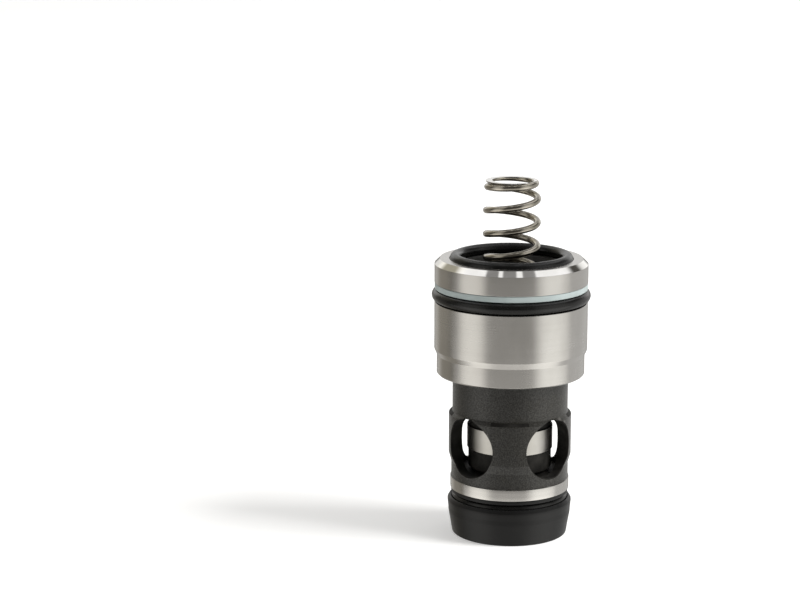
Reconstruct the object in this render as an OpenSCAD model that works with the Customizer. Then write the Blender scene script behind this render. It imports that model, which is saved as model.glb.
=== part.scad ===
// Slip-in cartridge valve (two-port logic element) with its closing spring,
// its seals and the push-on cap that covers the nose until it is fitted.
// The valve stands on the cap: the origin is the centre of the cap's underside
// and +Z runs up the valve's axis. Heights named *_h are above the sleeve's
// lower end, which rests on the cap's floor. All sizes are in millimetres.

/* [Sleeve] */
// Overall length of the sleeve
sleeve_length = 56; // [54:0.5:60]
// Diameter of the upper pilot, which fits the large bore of the cavity
pilot_d = 31.96; // [31.5:0.01:32]
// Length of the upper pilot, from the top face to its tapered step
pilot_length = 19; // [17:0.5:20]
// Diameter of the turned shoulder under the pilot
shoulder_d = 30.9; // [29:0.1:31.2]
// Height of the shoulder's underside
shoulder_h = 31.6; // [29:0.1:33]
// Diameter of the slim waist above the windows
waist_d = 24.2; // [23.4:0.1:24.8]
// Diameter of the band that the windows are drilled through
port_band_d = 25.7; // [24.8:0.1:26.4]
// Diameter of the neck below the band
neck_d = 24.6; // [23.8:0.1:24.9]
// Diameter of the ground land, which fits the small bore of the cavity
land_d = 24.98; // [24.9:0.01:25]
// Diameter of the nose below the lower seal
nose_d = 22.7; // [22:0.1:23]

/* [Windows and seat] */
// Number of round windows that make the side port
window_count = 4; // [3:1:4]
// Diameter of each window
window_d = 12.4; // [10:0.1:12.8]
// Height of the windows' centres
window_h = 17.3; // [17.2:0.1:17.7]
// Diameter of the relief turned inside the sleeve behind the windows
relief_d = 20.3; // [19.6:0.1:21]
// Diameter of the bore that guides the poppet
guide_d = 18; // [17.9:0.01:18.05]
// Diameter of the end port and of the seat's inner edge
end_port_d = 14.7; // [13:0.1:15]

/* [Poppet] */
// Outside diameter of the poppet
poppet_d = 17.95; // [17.85:0.01:17.96]
// Height of the poppet's open upper end
poppet_top_h = 46.3; // [44:0.1:47]
// Diameter of the pocket that holds the spring
pocket_d = 12.5; // [12.3:0.1:13]
// Height of the pocket's floor
pocket_floor_h = 16.3; // [15:0.1:20]

/* [Spring] */
// Diameter of the spring wire
wire_d = 1.4; // [1:0.05:1.5]
// Mean diameter of the coils
coil_d = 10.6; // [9.6:0.1:10.8]
// Free length from ground end to ground end
spring_length = 56; // [48:0.1:60]
// Distance from coil to coil in the working turns
coil_pitch = 4.95; // [4:0.01:5.5]
// Closed turns at each end
closed_turns = 1.33; // [1:0.01:1.5]
// How much smaller the radius of the upper closed turns is
end_shrink = 0.45; // [0:0.05:0.5]
// Direction in which the upper end of the wire stops, in degrees
wire_end_angle = 348; // [0:1:359]

/* [Seals] */
// Section of the O-ring under the control cover
face_section = 2.4; // [2:0.1:2.6]
// Section of the O-ring on the pilot
upper_section = 2.65; // [2.4:0.05:2.7]
// Section of the O-ring on the nose
lower_section = 1.8; // [1.6:0.05:1.8]
// Height of the upper groove's lower side
upper_groove_h = 46.95; // [46:0.05:47.5]
// Width of the upper groove
upper_groove_w = 4; // [3.8:0.05:4.2]
// Height of the lower groove's lower side
lower_groove_h = 4.35; // [4.2:0.05:4.5]
// Width of the lower groove
lower_groove_w = 2.7; // [2.6:0.05:2.9]

/* [Protective cap] */
// Thickness of the cap's floor
cap_floor = 2.7; // [2:0.1:3]
// Outside diameter of the cap's bead at the rim
cap_d = 26.08; // [25.6:0.02:26.6]
// Diameter of the cap's underside
cap_foot_d = 24.1; // [23.4:0.1:24.5]
// Height of the cap's rim
cap_rim_z = 7.9; // [7.6:0.05:8]

/* [Hidden] */
$fn = 128;
// How far a cut runs past the face that it opens
overshoot = 1;

// Sleeve, outside
pilot_r = pilot_d / 2;
shoulder_r = shoulder_d / 2;
waist_r = waist_d / 2;
band_r = port_band_d / 2;
neck_r = neck_d / 2;
land_r = land_d / 2;
nose_r = nose_d / 2;
face_chamfer = 1.1;
edge_break = 0.15;
shoulder_break = 0.3;
step_length = 1.2;
step_top_h = sleeve_length - pilot_length;
waist_end_h = window_h + 6.45;
band_top_h = window_h + 5.7;
band_low_h = window_h - 2.7;
neck_top_h = window_h - 4.6;
land_top_h = 9.4;
land_low_h = lower_groove_h + lower_groove_w;
nose_chamfer = 0.8;
upper_groove_depth = 2.1;
upper_groove_r = pilot_r - upper_groove_depth;
lower_groove_depth = 0.95;
lower_groove_r = nose_r - lower_groove_depth;

// Sleeve, inside
counterbore_r = 12.88;
counterbore_depth = 1.3;
guide_r = guide_d / 2;
guide_chamfer = 0.8;
relief_r = relief_d / 2;
relief_margin = 0.15;
relief_low_h = window_h - window_d / 2 - relief_margin;
relief_top_h = window_h + window_d / 2 + relief_margin;
end_port_r = end_port_d / 2;
seat_width = 0.55;
seat_low_h = relief_low_h - seat_width;
port_flare = 0.5;

// Poppet
poppet_r = poppet_d / 2;
pocket_r = pocket_d / 2;
seat_gap = 0.02;
nose_flat_r = 6.6;
tail_r = 8.7;
nose_face_h = seat_low_h + seat_gap - (end_port_r - nose_flat_r);
tail_low_h = seat_low_h + seat_gap + (tail_r - end_port_r);
ground_low_h = window_h - 1.5;
ground_top_h = window_h + 3.3;
band_groove_top_h = window_h + 6.1;
band_groove_r = 8.55;
poppet_break = 0.4;
pocket_lead_in = 0.8;

// Spring
wire_r = wire_d / 2;
coil_r = coil_d / 2;
wire_sides = 8;
rings_per_turn = 20;
closed_pitch = wire_d * 1.02;
closed_rise = closed_turns * closed_pitch;
tip_thickness = 0.1;
tip_rise = wire_r - tip_thickness;
working_rise = spring_length + 2 * tip_rise - 2 * closed_rise;
working_turns = working_rise / coil_pitch;
total_turns = working_turns + 2 * closed_turns;
shrink_turns = 0.5;
shrink_start = total_turns - closed_turns - shrink_turns / 2;

// Seals
ring_play = 0.05;
ring_stretch_gap = 0.01;
face_ring_r = counterbore_r - ring_play - face_section / 2;
upper_ring_r = upper_groove_r + ring_stretch_gap + upper_section / 2;
lower_ring_r = lower_groove_r + ring_stretch_gap + lower_section / 2;
upper_backup_r = pilot_r - ring_play;
lower_backup_r = land_r - 0.2;

// Protective cap
cap_r = cap_d / 2;
cap_foot_r = cap_foot_d / 2;
cap_bore_gap = 0.05;
cap_bore_r = nose_r + cap_bore_gap;
cap_corner_r = 0.35;
// Heights of the swell's start, of the bead, and of the mouth inside it
cap_wall_z = 4.6;
cap_swell_z = 5.6;
cap_bead_z = 7;
cap_mouth_z = 7.55;
cap_bead_flat = 0.2;
cap_wall_r = cap_r - 0.2;
cap_swell_r = cap_r - 0.15;
cap_low_wall_r = cap_r - 0.6;
cap_mouth_r = 12.3;
cap_rim_r = 12.6;
cap_rim_drop = 0.05;

// A ring of circular section about the valve's axis.
module oring(centre_r, section, z)
    translate([0, 0, z])
        rotate_extrude()
            translate([centre_r, 0])
                circle(d = section, $fn = 48);

// A flat ring of rectangular section about the valve's axis.
module flat_ring(inner_r, outer_r, low_z, high_z)
    rotate_extrude()
        translate([inner_r, low_z])
            square([outer_r - inner_r, high_z - low_z]);

// A turned body: the outline is a list of [radius, height] points.
module turned(outline)
    rotate_extrude()
        polygon(outline);

module sleeve_outline()
    turned([
        [0, 0],
        [nose_r - nose_chamfer, 0],
        [nose_r, nose_chamfer],
        [nose_r, lower_groove_h],
        [lower_groove_r, lower_groove_h],
        [lower_groove_r, land_low_h],
        [land_r - edge_break, land_low_h],
        [land_r, land_low_h + edge_break],
        [land_r, land_top_h],
        [neck_r, land_top_h + edge_break],
        [neck_r, neck_top_h],
        [band_r, band_low_h],
        [band_r, band_top_h],
        [waist_r, waist_end_h],
        [waist_r, shoulder_h],
        [shoulder_r - shoulder_break, shoulder_h],
        [shoulder_r, shoulder_h + shoulder_break],
        [shoulder_r, step_top_h - step_length],
        [pilot_r, step_top_h],
        [pilot_r, upper_groove_h - edge_break],
        [pilot_r - edge_break, upper_groove_h],
        [upper_groove_r, upper_groove_h],
        [upper_groove_r, upper_groove_h + upper_groove_w],
        [pilot_r - edge_break, upper_groove_h + upper_groove_w],
        [pilot_r, upper_groove_h + upper_groove_w + edge_break],
        [pilot_r, sleeve_length - face_chamfer],
        [pilot_r - face_chamfer, sleeve_length],
        [0, sleeve_length]
    ]);

module sleeve_bore()
    turned([
        [0, -overshoot],
        [end_port_r + port_flare + overshoot, -overshoot],
        [end_port_r, port_flare],
        [end_port_r, seat_low_h],
        [end_port_r + seat_width, relief_low_h],
        [relief_r, relief_low_h],
        [relief_r, relief_top_h - (relief_r - guide_r) / 2],
        [guide_r, relief_top_h],
        [guide_r, sleeve_length - counterbore_depth - guide_chamfer],
        [guide_r + guide_chamfer, sleeve_length - counterbore_depth],
        [counterbore_r, sleeve_length - counterbore_depth],
        [counterbore_r, sleeve_length + overshoot],
        [0, sleeve_length + overshoot]
    ]);

module windows()
    for (i = [0 : window_count - 1])
        rotate([0, 0, i * 360 / window_count])
            translate([guide_r - overshoot, 0, window_h])
                rotate([0, 90, 0])
                    cylinder(d = window_d, h = pilot_r);

// Sleeve: the cage that carries the guide bore, the seat and both ports.
module sleeve()
    color([0.60, 0.59, 0.56])
        translate([0, 0, cap_floor])
            difference() {
                sleeve_outline();
                sleeve_bore();
                windows();
            }

// Poppet: a hollow piston whose cone closes the end port.
module poppet()
    color([0.66, 0.65, 0.62])
        translate([0, 0, cap_floor])
            difference() {
                turned([
                    [0, nose_face_h],
                    [nose_flat_r, nose_face_h],
                    [tail_r, tail_low_h],
                    [tail_r, ground_low_h - edge_break],
                    [poppet_r, ground_low_h],
                    [poppet_r, ground_top_h],
                    [band_groove_r, ground_top_h + edge_break],
                    [band_groove_r, band_groove_top_h],
                    [poppet_r, band_groove_top_h + edge_break],
                    [poppet_r, poppet_top_h - poppet_break],
                    [poppet_r - poppet_break, poppet_top_h],
                    [0, poppet_top_h]
                ]);
                turned([
                    [0, pocket_floor_h],
                    [pocket_r, pocket_floor_h],
                    [pocket_r, poppet_top_h - pocket_lead_in],
                    [pocket_r + pocket_lead_in + overshoot, poppet_top_h + overshoot],
                    [0, poppet_top_h + overshoot]
                ]);
            }

// Height of the wire's centre, t turns up from the lower end of the wire. Both
// tips lie beyond the ground faces, so grinding leaves them tip_thickness thick.
function wire_height(t) =
    t < closed_turns ? t * closed_pitch - tip_rise
    : t < closed_turns + working_turns
        ? closed_rise - tip_rise + (t - closed_turns) * coil_pitch
    : spring_length + tip_rise - (total_turns - t) * closed_pitch;

// Radius of the coil t turns up: the upper closed turns are a little smaller.
function wire_turn_radius(t) =
    coil_r - end_shrink * min(1, max(0, (t - shrink_start) / shrink_turns));

// A point at angle a on the wire's section, counted outwards and upwards from
// its centre. A chord h above the centre cuts off what lies higher, and the
// points there are spread along it. The angle runs from -90 to 270.
function cut_section(a, h) =
    let (open = asin(min(1, h / wire_r)))
    a > open && a < 180 - open
        ? [sqrt(wire_r * wire_r - h * h) * cos(180 * (a - open) / (180 - 2 * open)), h]
        : [wire_r * cos(a), wire_r * sin(a)];

// The same point turned upside down.
function flipped(p) = [p.x, -p.y];

// One point on the wire's surface: each end of the spring is ground flat.
function wire_point(t, side) =
    let (
        turn = wire_end_angle + (t - total_turns) * 360,
        a = (side + 0.5) * 360 / wire_sides - 90,
        z = wire_height(t),
        p = z > spring_length / 2
            ? cut_section(a, spring_length - z)
            : flipped(cut_section(a > 90 ? 360 - a : -a, z)),
        r = wire_turn_radius(t) + p.x
    )
    [r * cos(turn), r * sin(turn), z + p.y];

// Spring: closed and ground ends, wound right-handed.
module spring() {
    rings = ceil(total_turns * rings_per_turn);
    last = rings * wire_sides;
    points = [
        for (i = [0 : rings], s = [0 : wire_sides - 1])
            wire_point(i * total_turns / rings, s)
    ];
    walls = [
        for (i = [0 : rings - 1], s = [0 : wire_sides - 1])
            let (
                a = i * wire_sides + s,
                b = i * wire_sides + (s + 1) % wire_sides
            )
            each [[a, b, b + wire_sides], [a, b + wire_sides, a + wire_sides]]
    ];
    ends = [
        [for (s = [wire_sides - 1 : -1 : 0]) s],
        [for (s = [0 : wire_sides - 1]) last + s]
    ];
    color([0.48, 0.46, 0.41])
        translate([0, 0, cap_floor + pocket_floor_h])
            polyhedron(points = points, faces = concat(walls, ends));
}

// Top face O-ring: seals the spring chamber against the control cover.
module top_face_oring()
    color([0.10, 0.10, 0.10])
        oring(face_ring_r, face_section,
              cap_floor + sleeve_length - counterbore_depth + face_section / 2);

// Upper O-ring: seals the pilot in the cavity's large bore.
module upper_oring()
    color([0.10, 0.10, 0.10])
        oring(upper_ring_r, upper_section,
              cap_floor + upper_groove_h + upper_section / 2 + ring_play);

// Upper backup ring: keeps the upper O-ring from extruding.
module upper_backup_ring()
    color([0.72, 0.76, 0.76])
        flat_ring(upper_groove_r + ring_play, upper_backup_r,
                  cap_floor + upper_groove_h + upper_section + 2 * ring_play,
                  cap_floor + upper_groove_h + upper_groove_w - ring_play);

// Lower O-ring: parts the two ports in the cavity's small bore.
module lower_oring()
    color([0.09, 0.09, 0.09])
        oring(lower_ring_r, lower_section,
              cap_floor + lower_groove_h + lower_section / 2);

// Lower backup ring: keeps the lower O-ring from extruding.
module lower_backup_ring()
    color([0.12, 0.12, 0.12])
        flat_ring(lower_groove_r + ring_play, lower_backup_r,
                  cap_floor + lower_groove_h + lower_section + ring_play,
                  cap_floor + land_low_h);

// Protective cap: a soft cup pushed over the nose for storage.
module protective_cap()
    color([0.16, 0.16, 0.16])
        turned([
            [0, 0],
            [cap_foot_r - cap_corner_r, 0],
            [cap_foot_r, cap_corner_r],
            [cap_low_wall_r, cap_wall_z / 2],
            [cap_wall_r, cap_wall_z],
            [cap_swell_r, cap_swell_z],
            [cap_r, cap_bead_z - cap_bead_flat],
            [cap_r, cap_bead_z + cap_bead_flat],
            [cap_rim_r, cap_rim_z],
            [cap_mouth_r, cap_rim_z - cap_rim_drop],
            [cap_mouth_r, cap_mouth_z],
            [cap_bore_r, cap_mouth_z - (cap_mouth_r - cap_bore_r)],
            [cap_bore_r, cap_floor],
            [0, cap_floor]
        ]);

sleeve();
poppet();
spring();
top_face_oring();
upper_oring();
upper_backup_ring();
lower_oring();
lower_backup_ring();
protective_cap();
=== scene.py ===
"""Looks of the slip-in cartridge valve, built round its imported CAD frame."""

import math

import bmesh
import bpy
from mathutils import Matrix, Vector


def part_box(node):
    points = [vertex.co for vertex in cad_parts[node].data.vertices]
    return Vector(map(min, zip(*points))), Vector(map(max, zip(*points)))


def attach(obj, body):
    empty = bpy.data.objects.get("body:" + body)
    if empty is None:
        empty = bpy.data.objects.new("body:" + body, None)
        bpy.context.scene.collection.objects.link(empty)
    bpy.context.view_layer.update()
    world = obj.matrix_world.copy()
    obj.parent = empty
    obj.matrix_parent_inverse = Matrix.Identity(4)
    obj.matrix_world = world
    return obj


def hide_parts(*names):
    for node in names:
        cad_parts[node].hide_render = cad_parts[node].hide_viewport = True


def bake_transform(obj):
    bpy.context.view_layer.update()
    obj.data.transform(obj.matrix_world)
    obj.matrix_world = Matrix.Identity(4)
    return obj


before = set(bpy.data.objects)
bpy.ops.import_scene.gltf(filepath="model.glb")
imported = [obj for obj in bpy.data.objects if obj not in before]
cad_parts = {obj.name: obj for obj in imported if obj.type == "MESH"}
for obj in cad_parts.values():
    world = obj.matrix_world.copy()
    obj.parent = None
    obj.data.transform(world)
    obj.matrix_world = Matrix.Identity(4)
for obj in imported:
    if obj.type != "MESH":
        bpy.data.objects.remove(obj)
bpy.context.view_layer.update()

MM = 0.001
SEGMENTS = 256

# Places from the frame, in millimetres. Heights here are above the cap's underside.
SLEEVE_LOW, SLEEVE_HIGH = (corner.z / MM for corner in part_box("sleeve"))
PILOT_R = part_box("sleeve")[1].x / MM
POPPET_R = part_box("poppet")[1].x / MM
POPPET_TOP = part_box("poppet")[1].z / MM
SPRING_LOW, SPRING_HIGH = (corner.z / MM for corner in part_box("spring"))
CAP_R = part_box("protective_cap")[1].x / MM
CAP_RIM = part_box("protective_cap")[1].z / MM

# The sleeve, in millimetres. Heights that end in _H are above its lower end.
SLEEVE_H = SLEEVE_HIGH - SLEEVE_LOW
BAND_R = 12.85
NECK_R = 12.3
WAIST_R = 12.1
LAND_R = 12.49
NOSE_R = 11.35
SHOULDER_R = 15.45
GUIDE_R = 9.0
RELIEF_R = 10.15
END_PORT_R = 7.35
SEAT_CHAMFER = 0.55
GLAND_R = 10.4
GROOVE_R = PILOT_R - 2.1
RING_GAP = 0.05
WINDOW_R = 6.2
WINDOW_H = 17.3
WINDOW_COUNT = 4
WINDOW_BREAK = 0.16
RELIEF_LOW_H = WINDOW_H - WINDOW_R - 0.15
RELIEF_TOP_H = WINDOW_H + WINDOW_R + 0.15
SHOULDER_H = 31.6
WAIST_END_H = 23.75
BAND_TOP_H = 23.0
BAND_LOW_H = 14.6
NECK_TOP_H = 12.7
LAND_LOW_H = 7.05
LAND_TOP_H = 9.4
LAND_SLOPE = 0.15
FACE_CHAMFER = 1.1

# Above the shoulder, the sleeve is ground beyond this radius.
GROUND_R = 12.7
# The bevel above the band is coloured dark as painted shade, except within this distance of a window's
# middle.
UNSHADED_BEVEL_REACH = 5.7
# The middle of a face counts as past an edge when it is this far beyond it.
PAST_EDGE = 0.02


# ------------------------------------------------------------------ shapes

def rounded(corners, steps=5):
    """A closed outline in metres. Each corner is (radius, height, fillet), in millimetres."""
    points = []
    for i, (r, z, fillet) in enumerate(corners):
        here = Vector((r, z))
        if not fillet:
            points.append(here * MM)
            continue
        back = (Vector(corners[i - 1][:2]) - here).normalized()
        ahead = (Vector(corners[(i + 1) % len(corners)][:2]) - here).normalized()
        half = back.angle(ahead) / 2
        centre = here + (back + ahead).normalized() * fillet / math.sin(half)
        first = here + back * fillet / math.tan(half) - centre
        last = here + ahead * fillet / math.tan(half) - centre
        start = math.atan2(first.y, first.x)
        sweep = (math.atan2(last.y, last.x) - start + math.pi) % math.tau - math.pi
        for k in range(steps + 1):
            angle = start + sweep * k / steps
            spoke = Vector((math.cos(angle), math.sin(angle)))
            points.append((centre + spoke * fillet) * MM)
    return points


def with_rings(outline, low, high, spacing=0.6 * MM):
    """The outline with extra points on its steep lines between two heights, in metres."""
    points = []
    for here, after in zip(outline, outline[1:] + outline[:1]):
        points.append(here)
        steps = int(abs(after.y - here.y) / spacing)
        if low < here.y < high or low < after.y < high:
            points += [here.lerp(after, k / steps) for k in range(1, steps)]
    return points


def smooth(piece, angle=40):
    """Smooth shading, with edges sharper than the angle kept, and large faces kept flat."""
    for polygon in piece.data.polygons:
        polygon.use_smooth = True
    piece.data.set_sharp_from_angle(angle=math.radians(angle))
    flat = piece.modifiers.new("flat_faces", "WEIGHTED_NORMAL")
    flat.keep_sharp = True


def new_piece(name, shape):
    """A piece made from a bmesh, with its faces turned outwards."""
    bmesh.ops.recalc_face_normals(shape, faces=shape.faces)
    mesh = bpy.data.meshes.new(name)
    shape.to_mesh(mesh)
    shape.free()
    piece = bpy.data.objects.new(name, mesh)
    bpy.context.scene.collection.objects.link(piece)
    return piece


def turned(name, outline, segments=SEGMENTS):
    """A solid turned about the valve's axis from a closed outline in metres."""
    shape = bmesh.new()
    rings = []
    for r, z in outline:
        spokes = 1 if r < 1e-7 else segments
        rings.append([
            shape.verts.new((r * math.cos(math.tau * k / segments),
                             r * math.sin(math.tau * k / segments), z))
            for k in range(spokes)
        ])
    for ring, following in zip(rings, rings[1:] + rings[:1]):
        if len(ring) == len(following) == 1:
            continue
        for k in range(segments):
            quad = [ring[k % len(ring)], ring[(k + 1) % len(ring)],
                    following[(k + 1) % len(following)], following[k % len(following)]]
            shape.faces.new(list(dict.fromkeys(quad)))
    return new_piece(name, shape)


def cut(piece, cutters):
    """Takes the cutters out of the piece, and removes them."""
    for cutter in cutters:
        modifier = piece.modifiers.new("cut", "BOOLEAN")
        modifier.operation = "DIFFERENCE"
        modifier.solver = "EXACT"
        modifier.object = cutter
    graph = bpy.context.evaluated_depsgraph_get()
    done = bpy.data.meshes.new_from_object(piece.evaluated_get(graph))
    piece.modifiers.clear()
    piece.data = done
    for cutter in cutters:
        bpy.data.objects.remove(cutter)


# ------------------------------------------------------------------ nodes

class Tree:
    """A short way to write node trees."""

    def __init__(self, owner):
        owner.use_nodes = True
        self.nodes = owner.node_tree.nodes
        self.links = owner.node_tree.links
        self.nodes.clear()

    def add(self, kind, inputs=None, **settings):
        """A node with its settings, and its inputs as values or as other nodes' outputs."""
        node = self.nodes.new("ShaderNode" + kind)
        for name, value in settings.items():
            setattr(node, name, value)
        for name, value in (inputs or {}).items():
            if isinstance(value, bpy.types.NodeSocket):
                self.links.new(value, node.inputs[name])
            else:
                node.inputs[name].default_value = value
        return node

    def math(self, operation, *values):
        """The result of an operation on numbers or outputs."""
        return self.add("Math", dict(enumerate(values)), operation=operation).outputs[0]

    def ramp(self, value, low, high, to_low=0.0, to_high=1.0):
        """The value mapped smoothly from one range to another."""
        return self.add("MapRange", {"Value": value, "From Min": low, "From Max": high,
                                     "To Min": to_low, "To Max": to_high},
                        interpolation_type="SMOOTHSTEP").outputs["Result"]

    def blend(self, share, a, b):
        """Two colours mixed by a share."""
        node = self.add("Mix", {"Factor": share}, data_type="RGBA")
        for socket, value in ((node.inputs[6], a), (node.inputs[7], b)):
            if isinstance(value, bpy.types.NodeSocket):
                self.links.new(value, socket)
            else:
                socket.default_value = (*value, 1)
        return node.outputs[2]

    def noise(self, place, scale, stretch=(1, 1, 1), detail=3.0, roughness=0.5):
        """Noise with a grain of 1 / scale metres, stretched along an axis where stretch is small."""
        spread = self.add("Mapping", {"Vector": place, "Scale": [scale * s for s in stretch]})
        return self.add("TexNoise", {"Vector": spread.outputs[0], "Scale": 1.0, "Detail": detail,
                                     "Roughness": roughness}).outputs["Fac"]

    def bump(self, height, distance, strength=1.0):
        """A normal from a height between 0 and 1, over a distance in metres."""
        return self.add("Bump", {"Height": height, "Distance": distance,
                                 "Strength": strength}).outputs[0]


def new_material(name):
    """A material, its tree, its object coordinates and its surface shader."""
    material = bpy.data.materials.new(name)
    tree = Tree(material)
    shader = tree.add("BsdfPrincipled")
    tree.add("OutputMaterial", {"Surface": shader.outputs[0]})
    place = tree.add("TexCoord").outputs["Object"]
    return material, tree, place, shader


def feed(tree, shader, **inputs):
    """Sets the shader's own sockets, by names with _ for a space, to values or outputs."""
    for name, value in inputs.items():
        socket = shader.inputs[name.replace("_", " ")]
        if isinstance(value, bpy.types.NodeSocket):
            tree.links.new(value, socket)
        else:
            socket.default_value = value


def ground_steel():
    """Cylindrically ground steel: fine rings round the axis, faint smears of oil."""
    material, tree, place, shader = new_material("ground_steel")
    rings = tree.noise(place, 5200, (0.004, 0.004, 1), detail=5, roughness=0.65)
    smears = tree.noise(place, 170, (1, 1, 0.5), detail=4)
    streaks = tree.noise(place, 900, (0.02, 0.02, 1), detail=2)
    tone = tree.math("MULTIPLY_ADD", streaks, 0.2, tree.math("MULTIPLY", smears, 0.8))
    colour = tree.blend(tree.ramp(tone, 0.3, 0.7), (0.535, 0.52, 0.495), (0.595, 0.58, 0.555))
    roughness = tree.math("ADD", tree.ramp(smears, 0.3, 0.7, 0.22, 0.27),
                          tree.ramp(rings, 0.3, 0.7, -0.02, 0.02))
    tangent = tree.add("Tangent", direction_type="RADIAL", axis="Z").outputs[0]
    feed(tree, shader, Base_Color=colour, Metallic=1.0, Roughness=roughness, Anisotropic=0.4,
         Anisotropic_Rotation=0.25, Tangent=tangent, Normal=tree.bump(rings, 0.12e-6))
    return material


def polished_steel():
    """A finely turned chamfer, almost a mirror."""
    material, tree, place, shader = new_material("polished_steel")
    rings = tree.noise(place, 4200, (0.01, 0.01, 1), detail=3)
    smears = tree.noise(place, 300, detail=3)
    colour = tree.blend(tree.ramp(smears, 0.3, 0.7), (0.66, 0.65, 0.62), (0.72, 0.71, 0.685))
    feed(tree, shader, Base_Color=colour, Metallic=1.0,
         Roughness=tree.ramp(smears, 0.3, 0.7, 0.05, 0.09), Normal=tree.bump(rings, 0.15e-6))
    return material


def phosphated_steel():
    """Dark phosphate on turned steel: a fine crystal grain with paler specks."""
    material, tree, place, shader = new_material("phosphated_steel")
    grain = tree.noise(place, 8200, detail=4, roughness=0.75)
    crystals = tree.noise(place, 3900, detail=3, roughness=0.6)
    patches = tree.noise(place, 380, detail=3)
    speck = tree.math("MULTIPLY", tree.ramp(grain, 0.45, 0.72), tree.ramp(crystals, 0.35, 0.65))
    colour = tree.blend(speck, (0.0104, 0.0095, 0.0070), (0.062, 0.057, 0.043))
    colour = tree.blend(tree.ramp(patches, 0.35, 0.7, 0, 0.4), colour, (0.017, 0.0165, 0.015))
    worn = tree.ramp(tree.add("NewGeometry").outputs["Pointiness"], 0.52, 0.58)
    scuffs = tree.math("MULTIPLY", worn, tree.ramp(patches, 0.3, 0.6))
    colour = tree.blend(tree.math("MULTIPLY", scuffs, 0.45), colour, (0.15, 0.145, 0.135))
    feed(tree, shader, Base_Color=colour, Roughness=tree.ramp(crystals, 0.3, 0.7, 0.46, 0.36),
         IOR=1.52, Specular_IOR_Level=tree.ramp(crystals, 0.35, 0.65, 0.38, 0.70),
         Sheen_Weight=0.26, Sheen_Roughness=0.35,
         Normal=tree.bump(speck, 11e-6, 0.8))
    return material


def shaded_bore_steel():
    """The oiled inside of the sleeve, the windows' walls and the poppet's tail, coloured near black as
    painted shade.
    """
    material, tree, place, shader = new_material("shaded_bore_steel")
    rings = tree.noise(place, 3000, (0.02, 0.02, 1), detail=3)
    oil = tree.noise(place, 420, detail=4)
    # These near-black colours are painted shade for the hollows; the oil is real, the darkness stands in
    # for shade.
    colour = tree.blend(tree.ramp(oil, 0.35, 0.7), (0.0105, 0.0100, 0.0090), (0.024, 0.0228, 0.0205))
    feed(tree, shader, Base_Color=colour, Roughness=tree.ramp(oil, 0.3, 0.7, 0.50, 0.62),
         IOR=1.22, Normal=tree.bump(rings, 3e-6))
    return material


def poppet_land_steel():
    """The poppet's ground land, a little finer than the sleeve."""
    material, tree, place, shader = new_material("poppet_land_steel")
    rings = tree.noise(place, 7000, (0.004, 0.004, 1), detail=4, roughness=0.6)
    smears = tree.noise(place, 260, detail=3)
    colour = tree.blend(tree.ramp(smears, 0.3, 0.7), (0.52, 0.505, 0.47), (0.58, 0.565, 0.535))
    tangent = tree.add("Tangent", direction_type="RADIAL", axis="Z").outputs[0]
    feed(tree, shader, Base_Color=colour, Metallic=1.0,
         Roughness=tree.ramp(rings, 0.3, 0.7, 0.36, 0.43), Anisotropic=0.4,
         Anisotropic_Rotation=0.25, Tangent=tangent, Normal=tree.bump(rings, 0.5e-6))
    return material


def spring_wire():
    """Drawn spring wire: warm grey, with a thin uneven film and faint die lines."""
    material, tree, place, shader = new_material("spring_wire")
    film = tree.noise(place, 260, detail=2, roughness=0.4)
    lines = tree.noise(place, 3600, (0.15, 0.15, 1), detail=2)
    colour = tree.blend(tree.ramp(film, 0.35, 0.65), (0.355, 0.33, 0.275), (0.42, 0.39, 0.34))
    roughness = tree.math("ADD", tree.ramp(film, 0.3, 0.7, 0.17, 0.22),
                          tree.ramp(lines, 0.35, 0.7, -0.02, 0.02))
    feed(tree, shader, Base_Color=colour, Metallic=1.0, Roughness=roughness,
         Normal=tree.bump(lines, 0.2e-6))
    return material


def ground_wire():
    """The flat ground ends of the spring, brighter than its wire."""
    material, tree, place, shader = new_material("ground_wire")
    marks = tree.noise(place, 3500, (1, 0.05, 1), detail=3)
    colour = tree.blend(tree.ramp(marks, 0.3, 0.7), (0.90, 0.89, 0.86), (0.96, 0.95, 0.93))
    feed(tree, shader, Base_Color=colour, Metallic=1.0, Roughness=0.22,
         Normal=tree.bump(marks, 0.5e-6))
    return material


def seal_rubber():
    """Moulded nitrile with a film of oil and a little dust."""
    material, tree, place, shader = new_material("seal_rubber")
    skin = tree.noise(place, 2600, detail=4, roughness=0.6)
    dust = tree.noise(place, 300, detail=5, roughness=0.7)
    colour = tree.blend(tree.ramp(dust, 0.5, 0.8, 0, 0.4), (0.0048, 0.0048, 0.0046),
                        (0.009, 0.009, 0.0085))
    feed(tree, shader, Base_Color=colour, Roughness=tree.ramp(dust, 0.3, 0.7, 0.20, 0.30),
         Normal=tree.bump(skin, 1.5e-6), IOR=1.39)
    return material


def backup_plastic(name, deep, pale, roughness):
    """Turned fluoropolymer: faint tool rings and a soft sheen."""
    material, tree, place, shader = new_material(name)
    rings = tree.noise(place, 4200, (0.01, 0.01, 1), detail=3)
    cloud = tree.noise(place, 350, detail=3)
    colour = tree.blend(tree.ramp(cloud, 0.3, 0.7), deep, pale)
    feed(tree, shader, Base_Color=colour, Roughness=roughness, IOR=1.38,
         Normal=tree.bump(rings, 2e-6))
    return material


def cap_plastic():
    """Smooth satin black moulding with a very fine grain."""
    material, tree, place, shader = new_material("cap_plastic")
    grain = tree.noise(place, 5200, detail=3, roughness=0.6)
    rub = tree.noise(place, 240, detail=4, roughness=0.6)
    colour = tree.blend(tree.ramp(rub, 0.35, 0.75), (0.0048, 0.0048, 0.0048),
                        (0.0075, 0.0075, 0.0072))
    feed(tree, shader, Base_Color=colour, Roughness=tree.ramp(rub, 0.3, 0.7, 0.36, 0.44),
         Sheen_Weight=0.06, Sheen_Roughness=0.25, Normal=tree.bump(grain, 2.5e-6), IOR=1.36)
    return material


# ------------------------------------------------------------------ pieces

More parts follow.
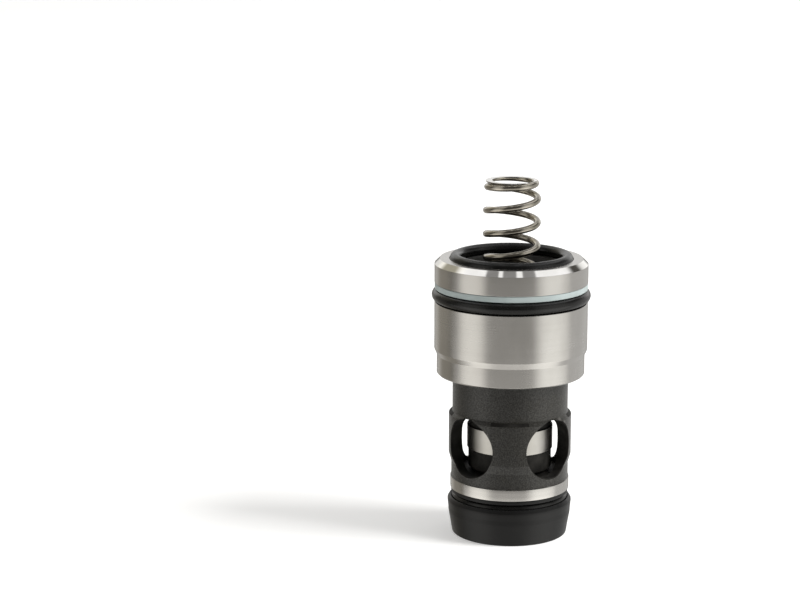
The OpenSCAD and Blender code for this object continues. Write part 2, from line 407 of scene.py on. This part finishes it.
def sleeve_outline():
    """The sleeve's closed outline, outside from the nose up, then inside back down."""
    pilot_length, pilot_slope = 19.0, 1.2
    pilot_low = SLEEVE_H - pilot_length
    groove_low, groove_high = 46.95, 50.95
    gland_low = 4.35
    counterbore_r, counterbore_low = 12.88, SLEEVE_H - 1.3
    nose_chamfer = guide_chamfer = 0.8
    port_chamfer = 0.5
    shoulder_chamfer = 0.3
    corners = [
        (END_PORT_R + port_chamfer, 0.0, 0.15),
        (NOSE_R - nose_chamfer, 0.0, 0.12),
        (NOSE_R, nose_chamfer, 0.12),
        (NOSE_R, gland_low, 0.08),
        (GLAND_R, gland_low, 0.12),
        (GLAND_R, LAND_LOW_H, 0.12),
        (LAND_R, LAND_LOW_H, 0.13),
        (LAND_R, LAND_TOP_H, 0.06),
        (NECK_R, LAND_TOP_H + LAND_SLOPE, 0.08),
        (NECK_R, NECK_TOP_H, 0.35),
        (BAND_R, BAND_LOW_H, 0.30),
        (BAND_R, BAND_TOP_H, 0.15),
        (WAIST_R, WAIST_END_H, 0.35),
        (WAIST_R, SHOULDER_H, 0.30),
        (SHOULDER_R - shoulder_chamfer, SHOULDER_H, 0.08),
        (SHOULDER_R, SHOULDER_H + shoulder_chamfer, 0.15),
        (SHOULDER_R, pilot_low - pilot_slope, 0.25),
        (PILOT_R, pilot_low, 0.25),
        (PILOT_R, groove_low, 0.12),
        (GROOVE_R, groove_low, 0.20),
        (GROOVE_R, groove_high, 0.20),
        (PILOT_R, groove_high, 0.12),
        (PILOT_R, SLEEVE_H - FACE_CHAMFER, 0.05),
        (PILOT_R - FACE_CHAMFER, SLEEVE_H, 0.05),
        (counterbore_r, SLEEVE_H, 0.08),
        (counterbore_r, counterbore_low, 0.15),
        (GUIDE_R + guide_chamfer, counterbore_low, 0.15),
        (GUIDE_R, counterbore_low - guide_chamfer, 0.15),
        (GUIDE_R, RELIEF_TOP_H, 0.10),
        (RELIEF_R, RELIEF_TOP_H - (RELIEF_R - GUIDE_R) / 2, 0.20),
        (RELIEF_R, RELIEF_LOW_H, 0.30),
        (END_PORT_R + SEAT_CHAMFER, RELIEF_LOW_H, 0.06),
        (END_PORT_R, RELIEF_LOW_H - SEAT_CHAMFER, 0.06),
        (END_PORT_R, port_chamfer, 0.15),
    ]
    return rounded([(r, h + SLEEVE_LOW, fillet) for r, h, fillet in corners])


def band_radius(h):
    """Outer radius of the sleeve at a height between the land and the shoulder."""
    profile = [(LAND_TOP_H, NECK_R), (NECK_TOP_H, NECK_R), (BAND_LOW_H, BAND_R),
               (BAND_TOP_H, BAND_R), (WAIST_END_H, WAIST_R), (SHOULDER_H, WAIST_R)]
    for (h0, r0), (h1, r1) in zip(profile, profile[1:]):
        if h <= h1:
            return r0 + (r1 - r0) * (h - h0) / (h1 - h0)
    return WAIST_R


def window_bit(turn, segments=112):
    """The drill for one window: a many-sided bar along +X, turned about the valve's axis."""
    inner_end, outer_end = GUIDE_R - 1.3, BAND_R + 2.0
    shape = bmesh.new()
    rings = []
    for x in (inner_end, outer_end):
        ring = []
        for k in range(segments):
            angle = math.tau * k / segments
            level = SLEEVE_LOW + WINDOW_H + WINDOW_R * math.cos(angle)
            ring.append(shape.verts.new((x * MM, WINDOW_R * MM * math.sin(angle), level * MM)))
        rings.append(ring)
    for k in range(segments):
        after = (k + 1) % segments
        shape.faces.new([rings[0][k], rings[0][after], rings[1][after], rings[1][k]])
    for ring in rings:
        shape.faces.new(ring)
    bit = new_piece("window_bit", shape)
    bit.rotation_euler.z = turn
    return bit


def rim_bit(turn, segments=112):
    """A diamond-sectioned ring along one window's rim, which leaves a small chamfer there. Its
    sections lie half way between the drill's corners."""
    shape = bmesh.new()
    rings = []
    for k in range(segments):
        angle = math.tau * (k + 0.5) / segments
        across, up = WINDOW_R * math.sin(angle), WINDOW_R * math.cos(angle)
        r = band_radius(WINDOW_H + up)
        x = math.sqrt(r * r - across * across)
        out = Vector((x, across, 0)).normalized()
        away = Vector((0, math.sin(angle), math.cos(angle)))
        away = (away - out * away.dot(out)).normalized()
        rim = Vector((x, across, SLEEVE_LOW + WINDOW_H + up))
        rings.append([shape.verts.new((rim + side * WINDOW_BREAK) * MM)
                      for side in (out, away, -out, -away)])
    for ring, after in zip(rings, rings[1:] + rings[:1]):
        for k in range(4):
            shape.faces.new([ring[k], ring[(k + 1) % 4], after[(k + 1) % 4], after[k]])
    bit = new_piece("rim_bit", shape)
    bit.rotation_euler.z = turn
    return bit


def sleeve_finish(centre, normal):
    """Which finish a face of the sleeve has: 0 phosphated, 1 ground, 2 polished, 3 oiled and
    coloured dark as painted shade, in the bores, the windows and the bevel above the band, except near
    the windows."""
    r = math.hypot(centre.x, centre.y) / MM
    h = centre.z / MM - SLEEVE_LOW
    if h > SLEEVE_H - FACE_CHAMFER + PAST_EDGE and r > PILOT_R - FACE_CHAMFER + PAST_EDGE:
        return 2
    if h > SHOULDER_H + PAST_EDGE and r > GROUND_R:
        return 1
    if LAND_LOW_H + PAST_EDGE < h < LAND_TOP_H + LAND_SLOPE / 2 and r > NECK_R + 0.1:
        return 1
    outwards = (normal.x * centre.x + normal.y * centre.y) / (r * MM)
    across = min(abs(centre.x), abs(centre.y)) / MM
    in_bore = r < RELIEF_R + PAST_EDGE
    in_window = math.hypot(across, h - WINDOW_H) < WINDOW_R + WINDOW_BREAK
    # The bevel above the band gets painted shade away from the windows.
    shaded_bevel = BAND_TOP_H + 0.05 < h < WAIST_END_H - 0.2 and across > UNSHADED_BEVEL_REACH
    # Finish 3 is painted shade: a near-black colour on the bores, the window walls and the shaded bevel.
    if in_bore or (outwards < 0.9 and (in_window or shaded_bevel)):
        return 3
    return 0


def make_sleeve():
    """The sleeve: turned, then drilled with its windows, ground in places, coloured dark as painted
    shade in its bores, windows and bevel, and phosphated in the rest.
    """
    windows_low, windows_high = (SLEEVE_LOW + LAND_LOW_H) * MM, (SLEEVE_LOW + SHOULDER_H) * MM
    sleeve = turned("sleeve_body", with_rings(sleeve_outline(), windows_low, windows_high))
    turns = [math.tau * i / WINDOW_COUNT for i in range(WINDOW_COUNT)]
    cut(sleeve, [window_bit(turn) for turn in turns] + [rim_bit(turn) for turn in turns])
    sleeve.data.materials.clear()
    for material in (phosphated_steel(), ground_steel(), polished_steel(), shaded_bore_steel()):
        sleeve.data.materials.append(material)
    for polygon in sleeve.data.polygons:
        polygon.material_index = sleeve_finish(polygon.center, polygon.normal)
    smooth(sleeve, 30)
    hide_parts("sleeve")
    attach(sleeve, "sleeve_body")


def make_poppet():
    """The poppet: a hollow piston, with a bright ground land in the windows, and its tail and inside
    coloured dark as painted shade.
    """
    seat_gap = 0.02
    seat = RELIEF_LOW_H - SEAT_CHAMFER + seat_gap
    tail_r, flat_r, groove_r, pocket_r = 8.7, 6.6, 8.55, 6.25
    land_low, land_top, groove_top = 15.8, 20.6, 23.4
    edge_break, top_chamfer, pocket_chamfer = 0.15, 0.4, 0.8
    top = POPPET_TOP - SLEEVE_LOW
    floor = SPRING_LOW - SLEEVE_LOW
    corners = [
        (0, seat - (END_PORT_R - flat_r), 0),
        (flat_r, seat - (END_PORT_R - flat_r), 0.15),
        (tail_r, seat + (tail_r - END_PORT_R), 0.15),
        (tail_r, land_low - edge_break, 0.05),
        (POPPET_R, land_low, 0.05),
        (POPPET_R, land_top, 0.05),
        (groove_r, land_top + edge_break, 0.08),
        (groove_r, groove_top, 0.08),
        (POPPET_R, groove_top + edge_break, 0.05),
        (POPPET_R, top - top_chamfer, 0.10),
        (POPPET_R - top_chamfer, top, 0.10),
        (pocket_r + pocket_chamfer, top, 0.10),
        (pocket_r, top - pocket_chamfer, 0.10),
        (pocket_r, floor, 0.40),
        (0, floor, 0),
    ]
    poppet = turned("poppet_piston", rounded([(r, h + SLEEVE_LOW, f) for r, h, f in corners]))
    poppet.data.materials.append(shaded_bore_steel())
    poppet.data.materials.append(poppet_land_steel())
    # Faces below the land and inside the pocket take the near-black steel, a painted shade.
    for polygon in poppet.data.polygons:
        h = polygon.center.z / MM - SLEEVE_LOW
        outside = math.hypot(polygon.center.x, polygon.center.y) / MM > tail_r + 0.1
        polygon.material_index = int(outside and h > land_low - 0.1)
    smooth(poppet)
    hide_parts("poppet")
    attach(poppet, "poppet_body")


def make_spring():
    """The closing spring: a helix of round wire, with closed turns at both ends ground flat."""
    wire_r, coil_r, pitch = 0.7, 5.3, 4.95
    closed, end_shrink, shrink_turns = 1.33, 0.45, 0.5
    end_angle = math.radians(348)
    sides, slices_per_turn = 20, 40
    tip_thickness = 0.1
    length = SPRING_HIGH - SPRING_LOW
    closed_pitch = 2.04 * wire_r
    tip_rise = wire_r - tip_thickness
    closed_rise = closed * closed_pitch
    working = (length + 2 * tip_rise - 2 * closed_rise) / pitch
    total = working + 2 * closed

    def straight_height(t):
        """Height of the wire's middle above the spring's lower end, after t turns."""
        if t < closed:
            return t * closed_pitch - tip_rise
        if t < closed + working:
            return closed_rise - tip_rise + (t - closed) * pitch
        return length + tip_rise - (total - t) * closed_pitch

    def height(t):
        """The height averaged over a short stretch of wire, so that the pitch changes softly."""
        stretch = [0.03 * k for k in range(-3, 4)]
        return sum(straight_height(t + step) for step in stretch) / len(stretch)

    def turn_radius(t):
        """The coil's radius: the upper closed turns are a little smaller."""
        gone = (t - (total - closed - shrink_turns / 2)) / shrink_turns
        return coil_r - end_shrink * min(1.0, max(0.0, gone))

    def section(a, h):
        """A point on the wire's section, below a chord at h above its centre."""
        open_a = math.asin(min(1.0, h / wire_r))
        if open_a < a < math.pi - open_a:
            share = (a - open_a) / (math.pi - 2 * open_a)
            return math.sqrt(wire_r ** 2 - h ** 2) * math.cos(math.pi * share), h
        return wire_r * math.cos(a), wire_r * math.sin(a)

    shape = bmesh.new()
    slices = round(total * slices_per_turn)
    rings, shares = [], []
    for i in range(slices + 1):
        t = total * i / slices
        turn = end_angle + (t - total) * math.tau
        z = height(t)
        upper = z > length / 2
        ring = []
        for s in range(sides):
            a = (s + 0.5) * math.tau / sides - math.pi / 2
            mirrored = a if upper else (math.tau - a if a > math.pi / 2 else -a)
            out, up = section(mirrored, length - z if upper else z)
            r = turn_radius(t) + out
            level = SPRING_LOW + z + (up if upper else -up)
            ring.append(shape.verts.new(Vector((r * math.cos(turn), r * math.sin(turn), level)) * MM))
        rings.append(ring)
        shares += [min(1.0, max(0.0, (t - closed) / working))] * sides
    for ring, after in zip(rings, rings[1:]):
        for s in range(sides):
            shape.faces.new([ring[s], ring[(s + 1) % sides], after[(s + 1) % sides], after[s]])
    shape.faces.new(rings[0])
    shape.faces.new(rings[-1])
    spring = new_piece("closing_spring", shape)
    spring.data.materials.append(spring_wire())
    spring.data.materials.append(ground_wire())
    for polygon in spring.data.polygons:
        at_end = min(polygon.center.z / MM - SPRING_LOW, SPRING_HIGH - polygon.center.z / MM)
        polygon.material_index = int(at_end < 0.01 and abs(polygon.normal.z) > 0.9)
    smooth(spring, 30)
    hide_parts("spring")
    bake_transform(spring)


def make_oring(node, material, name):
    """An O-ring with the fine flash line that its mould leaves inside and outside."""
    low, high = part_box(node)
    section_r = (high.z - low.z) / 2
    centre_r = high.x - section_r
    middle = (high.z + low.z) / 2
    flash, flash_width, steps = 0.015 * MM, math.radians(7), 48
    outline = []
    for k in range(steps):
        a = math.tau * k / steps
        near_parting = max(0.0, 1 - abs(math.sin(a)) / math.sin(flash_width))
        r = section_r - flash + flash * near_parting
        outline.append(Vector((centre_r + r * math.cos(a), middle + r * math.sin(a))))
    ring = turned(name, outline)
    ring.data.materials.append(material)
    smooth(ring, 60)
    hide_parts(node)
    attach(ring, "sleeve_body")


def make_flat_ring(node, material, name, groove_r):
    """A backup ring with its edges just broken, a little clear of the bottom of its groove."""
    low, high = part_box(node)
    low_z, high_z, outer_r = low.z / MM, high.z / MM, high.x / MM
    inner_r = groove_r + RING_GAP
    ring = turned(name, rounded([
        (inner_r, low_z, 0.08), (outer_r, low_z, 0.10),
        (outer_r, high_z, 0.10), (inner_r, high_z, 0.08),
    ]))
    ring.data.materials.append(material)
    smooth(ring)
    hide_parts(node)
    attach(ring, "sleeve_body")


def make_cap():
    """The protective cap: a soft cup with a rounded bead at its rim."""
    foot_r, wall_r, mouth_r = 12.05, CAP_R - 0.2, 12.3
    wall_z, bead_z, mouth_z = 4.6, 7.0, 7.55
    bore_r = NOSE_R + 0.05
    cap = turned("nose_cap", rounded([
        (0, 0, 0),
        (foot_r, 0, 0.35),
        (wall_r - 0.4, wall_z / 2, 3.0),
        (wall_r, wall_z, 2.0),
        (wall_r + 0.05, wall_z + 1, 0.8),
        (CAP_R, bead_z - 0.2, 0.35),
        (CAP_R, bead_z + 0.2, 0.30),
        (mouth_r + 0.3, CAP_RIM, 0.25),
        (mouth_r, CAP_RIM - 0.05, 0.08),
        (mouth_r, mouth_z, 0.10),
        (bore_r, mouth_z - (mouth_r - bore_r), 0.20),
        (bore_r, SLEEVE_LOW, 0.25),
        (0, SLEEVE_LOW, 0),
    ], steps=8))
    cap.data.materials.append(cap_plastic())
    smooth(cap)
    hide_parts("protective_cap")
    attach(cap, "cap_body")


# ------------------------------------------------------------------ studio

# Direction of the main view, in degrees: the camera stands between two windows.
VIEW_AZIMUTH = 45


def make_camera():
    """The camera, a little above the valve and to the left of it, with a long lens."""
    distance, height = 465.1 * MM, 146.2 * MM
    pitch = math.radians(11.73)
    turned_left = math.radians(2.85)
    azimuth = math.radians(VIEW_AZIMUTH)
    away = Vector((math.sin(azimuth), -math.cos(azimuth), 0))
    camera = bpy.data.objects.new("camera", bpy.data.cameras.new("camera"))
    camera.location = away * distance + Vector((0, 0, height))
    camera.rotation_euler = (math.pi / 2 - pitch, 0, azimuth + turned_left)
    camera.data.sensor_width = 36
    camera.data.lens = 102.54
    camera.data.clip_start = 0.01
    bpy.context.scene.collection.objects.link(camera)
    bpy.context.scene.camera = camera


# Soft boxes round the valve: angle from the main view to its right, half width, lowest and
# highest elevation and softness of the edges in degrees, then brightness and tint.
SOFT_BOXES = [
    (0, 110, -90, 50, 12, 0.02, (1.0, 1.0, 1.0)),
    (0, 100, -90, -13.5, 3, 0.72, (1.0, 0.985, 0.955)),
    (-62, 17, -60, 40, 13, 0.72, (1.0, 0.985, 0.94)),
    (67, 20, -60, 40, 16, 0.82, (1.0, 1.0, 0.97)),
    (129, 31, -60, 18, 13, 0.56, (1.0, 1.0, 0.99)),
    (-130, 24, -60, 18, 12, 0.24, (1.0, 0.94, 0.82)),
    (-135, 30, 18, 48, 6, 0.38, (1.0, 0.94, 0.74)),
    (-170, 26, -60, 0, 12, 0.30, (1.0, 1.0, 1.0)),
    (180, 38, 3, 30, 5, 0.78, (1.0, 1.0, 1.0)),
]
# Colour and brightness of the tent between the soft boxes.
TENT = (0.085, 0.080, 0.072)
# The overhead soft box: brightness, half width in degrees, and its lean backwards and rightwards.
OVERHEAD, OVERHEAD_HALF = 1.2, 40.5
OVERHEAD_BACK, OVERHEAD_RIGHT = 0.26, 0.04
# The dark bars across it: place and half width, as cosines of the angle from straight right.
OVERHEAD_BARS = [(-0.285, 0.105), (-0.025, 0.125), (0.268, 0.11)]
BAR_CORE, BAR_LIGHT = 0.7, 0.2


def over(tree, value, half, feather):
    """1 where the angle with this cosine is within a half width and 0 beyond it, with soft edges.
    The half width and the softness are in degrees."""
    wide = math.cos(math.radians(min(180, half + feather)))
    narrow = math.cos(math.radians(max(0, half - feather)))
    return tree.ramp(value, wide, narrow)


def facing(tree, vector, angle):
    """The cosine between a direction and a level angle, counted to the right of the main view."""
    a = math.radians(VIEW_AZIMUTH - 90 + angle)
    return tree.add("VectorMath", {0: vector, 1: (math.cos(a), math.sin(a), 0)},
                    operation="DOT_PRODUCT").outputs["Value"]


def added(tree, light, share, strength, tint):
    """The light with a tinted share added to it."""
    box = tree.add("VectorMath", {0: [strength * c for c in tint], 3: share}, operation="SCALE")
    return tree.add("VectorMath", {0: light, 1: box.outputs[0]}, operation="ADD").outputs[0]


def make_world():
    """A light tent: soft boxes round the sides, and one overhead with dark bars across it."""
    world = bpy.data.worlds.new("studio")
    bpy.context.scene.world = world
    tree = Tree(world)
    look = tree.add("TexCoord").outputs["Generated"]
    up = tree.add("SeparateXYZ", {"Vector": look}).outputs["Z"]
    level = tree.add("VectorMath", {0: look, 1: (1, 1, 0)}, operation="MULTIPLY").outputs[0]
    level = tree.add("VectorMath", {0: level}, operation="NORMALIZE").outputs[0]
    light = tree.add("CombineXYZ", dict(zip("XYZ", TENT))).outputs[0]
    for angle, half, lowest, highest, feather, strength, tint in SOFT_BOXES:
        share = over(tree, facing(tree, level, angle), half, feather)
        for limit, sign in ((lowest, 1), (highest, -1)):
            if abs(limit) < 90:
                share = tree.math("MULTIPLY", share, tree.ramp(
                    up, math.sin(math.radians(limit - sign * feather)),
                    math.sin(math.radians(limit + sign * feather))))
        light = added(tree, light, share, strength, tint)
    nearness = tree.math("MULTIPLY_ADD", facing(tree, look, 180), OVERHEAD_BACK, up)
    nearness = tree.math("MULTIPLY_ADD", facing(tree, look, 90), OVERHEAD_RIGHT, nearness)
    overhead = over(tree, nearness, OVERHEAD_HALF, 3)
    for place, half in OVERHEAD_BARS:
        off = tree.math("ABSOLUTE", tree.math("SUBTRACT", facing(tree, look, 90), place))
        passed = tree.ramp(off, half * BAR_CORE, half, BAR_LIGHT, 1)
        overhead = tree.math("MULTIPLY", overhead, passed)
    light = added(tree, light, overhead, OVERHEAD, (1.0, 1.0, 1.02))
    background = tree.add("Background", {"Color": light, "Strength": 1.0})
    tree.add("OutputWorld", {"Surface": background.outputs[0]})


def make_floor():
    """A plain white floor that glows a little, as a light table does. Its size is in metres."""
    half = 6.0
    shape = bmesh.new()
    shape.faces.new([shape.verts.new((x * half, y * half, 0))
                     for x, y in ((-1, -1), (1, -1), (1, 1), (-1, 1))])
    floor = new_piece("floor", shape)
    material, tree, _, shader = new_material("floor")
    feed(tree, shader, Base_Color=(0.80, 0.80, 0.79, 1), Roughness=0.9,
         Emission_Color=(1, 1, 1, 1), Emission_Strength=0.34)
    floor.data.materials.append(material)
    floor.visible_glossy = False


def add_light(name, angle, elevation, distance, size, power):
    """An area light aimed at the valve's middle, at an angle from the main view to its right,
    with its distance and size in metres and its power in watts."""
    target = Vector((0, 0, 30 * MM))
    a = math.radians(VIEW_AZIMUTH - 90 + angle)
    e = math.radians(elevation)
    towards = Vector((math.cos(a) * math.cos(e), math.sin(a) * math.cos(e), math.sin(e)))
    light = bpy.data.objects.new(name, bpy.data.lights.new(name, "AREA"))
    light.location = towards * distance + target
    light.rotation_euler = towards.to_track_quat("Z", "Y").to_euler()
    light.data.size = size
    light.data.energy = power
    light.visible_glossy = False
    bpy.context.scene.collection.objects.link(light)


bpy.context.scene.view_settings.view_transform = "Standard"
make_camera()
make_world()
make_floor()
add_light("key", 78, 40, 2.4, 1.05, 66)

rubber = seal_rubber()
make_sleeve()
make_poppet()
make_spring()
make_oring("top_face_oring", rubber, "face_seal")
make_oring("upper_oring", rubber, "pilot_seal")
make_oring("lower_oring", rubber, "nose_seal")
make_flat_ring("upper_backup_ring",
               backup_plastic("pale_backup", (0.335, 0.385, 0.38), (0.375, 0.43, 0.425), 0.42),
               "pale_backup_ring", GROOVE_R)
make_flat_ring("lower_backup_ring",
               backup_plastic("dark_backup", (0.004, 0.004, 0.004), (0.007, 0.007, 0.007), 0.45),
               "dark_backup_ring", GLAND_R)
make_cap()
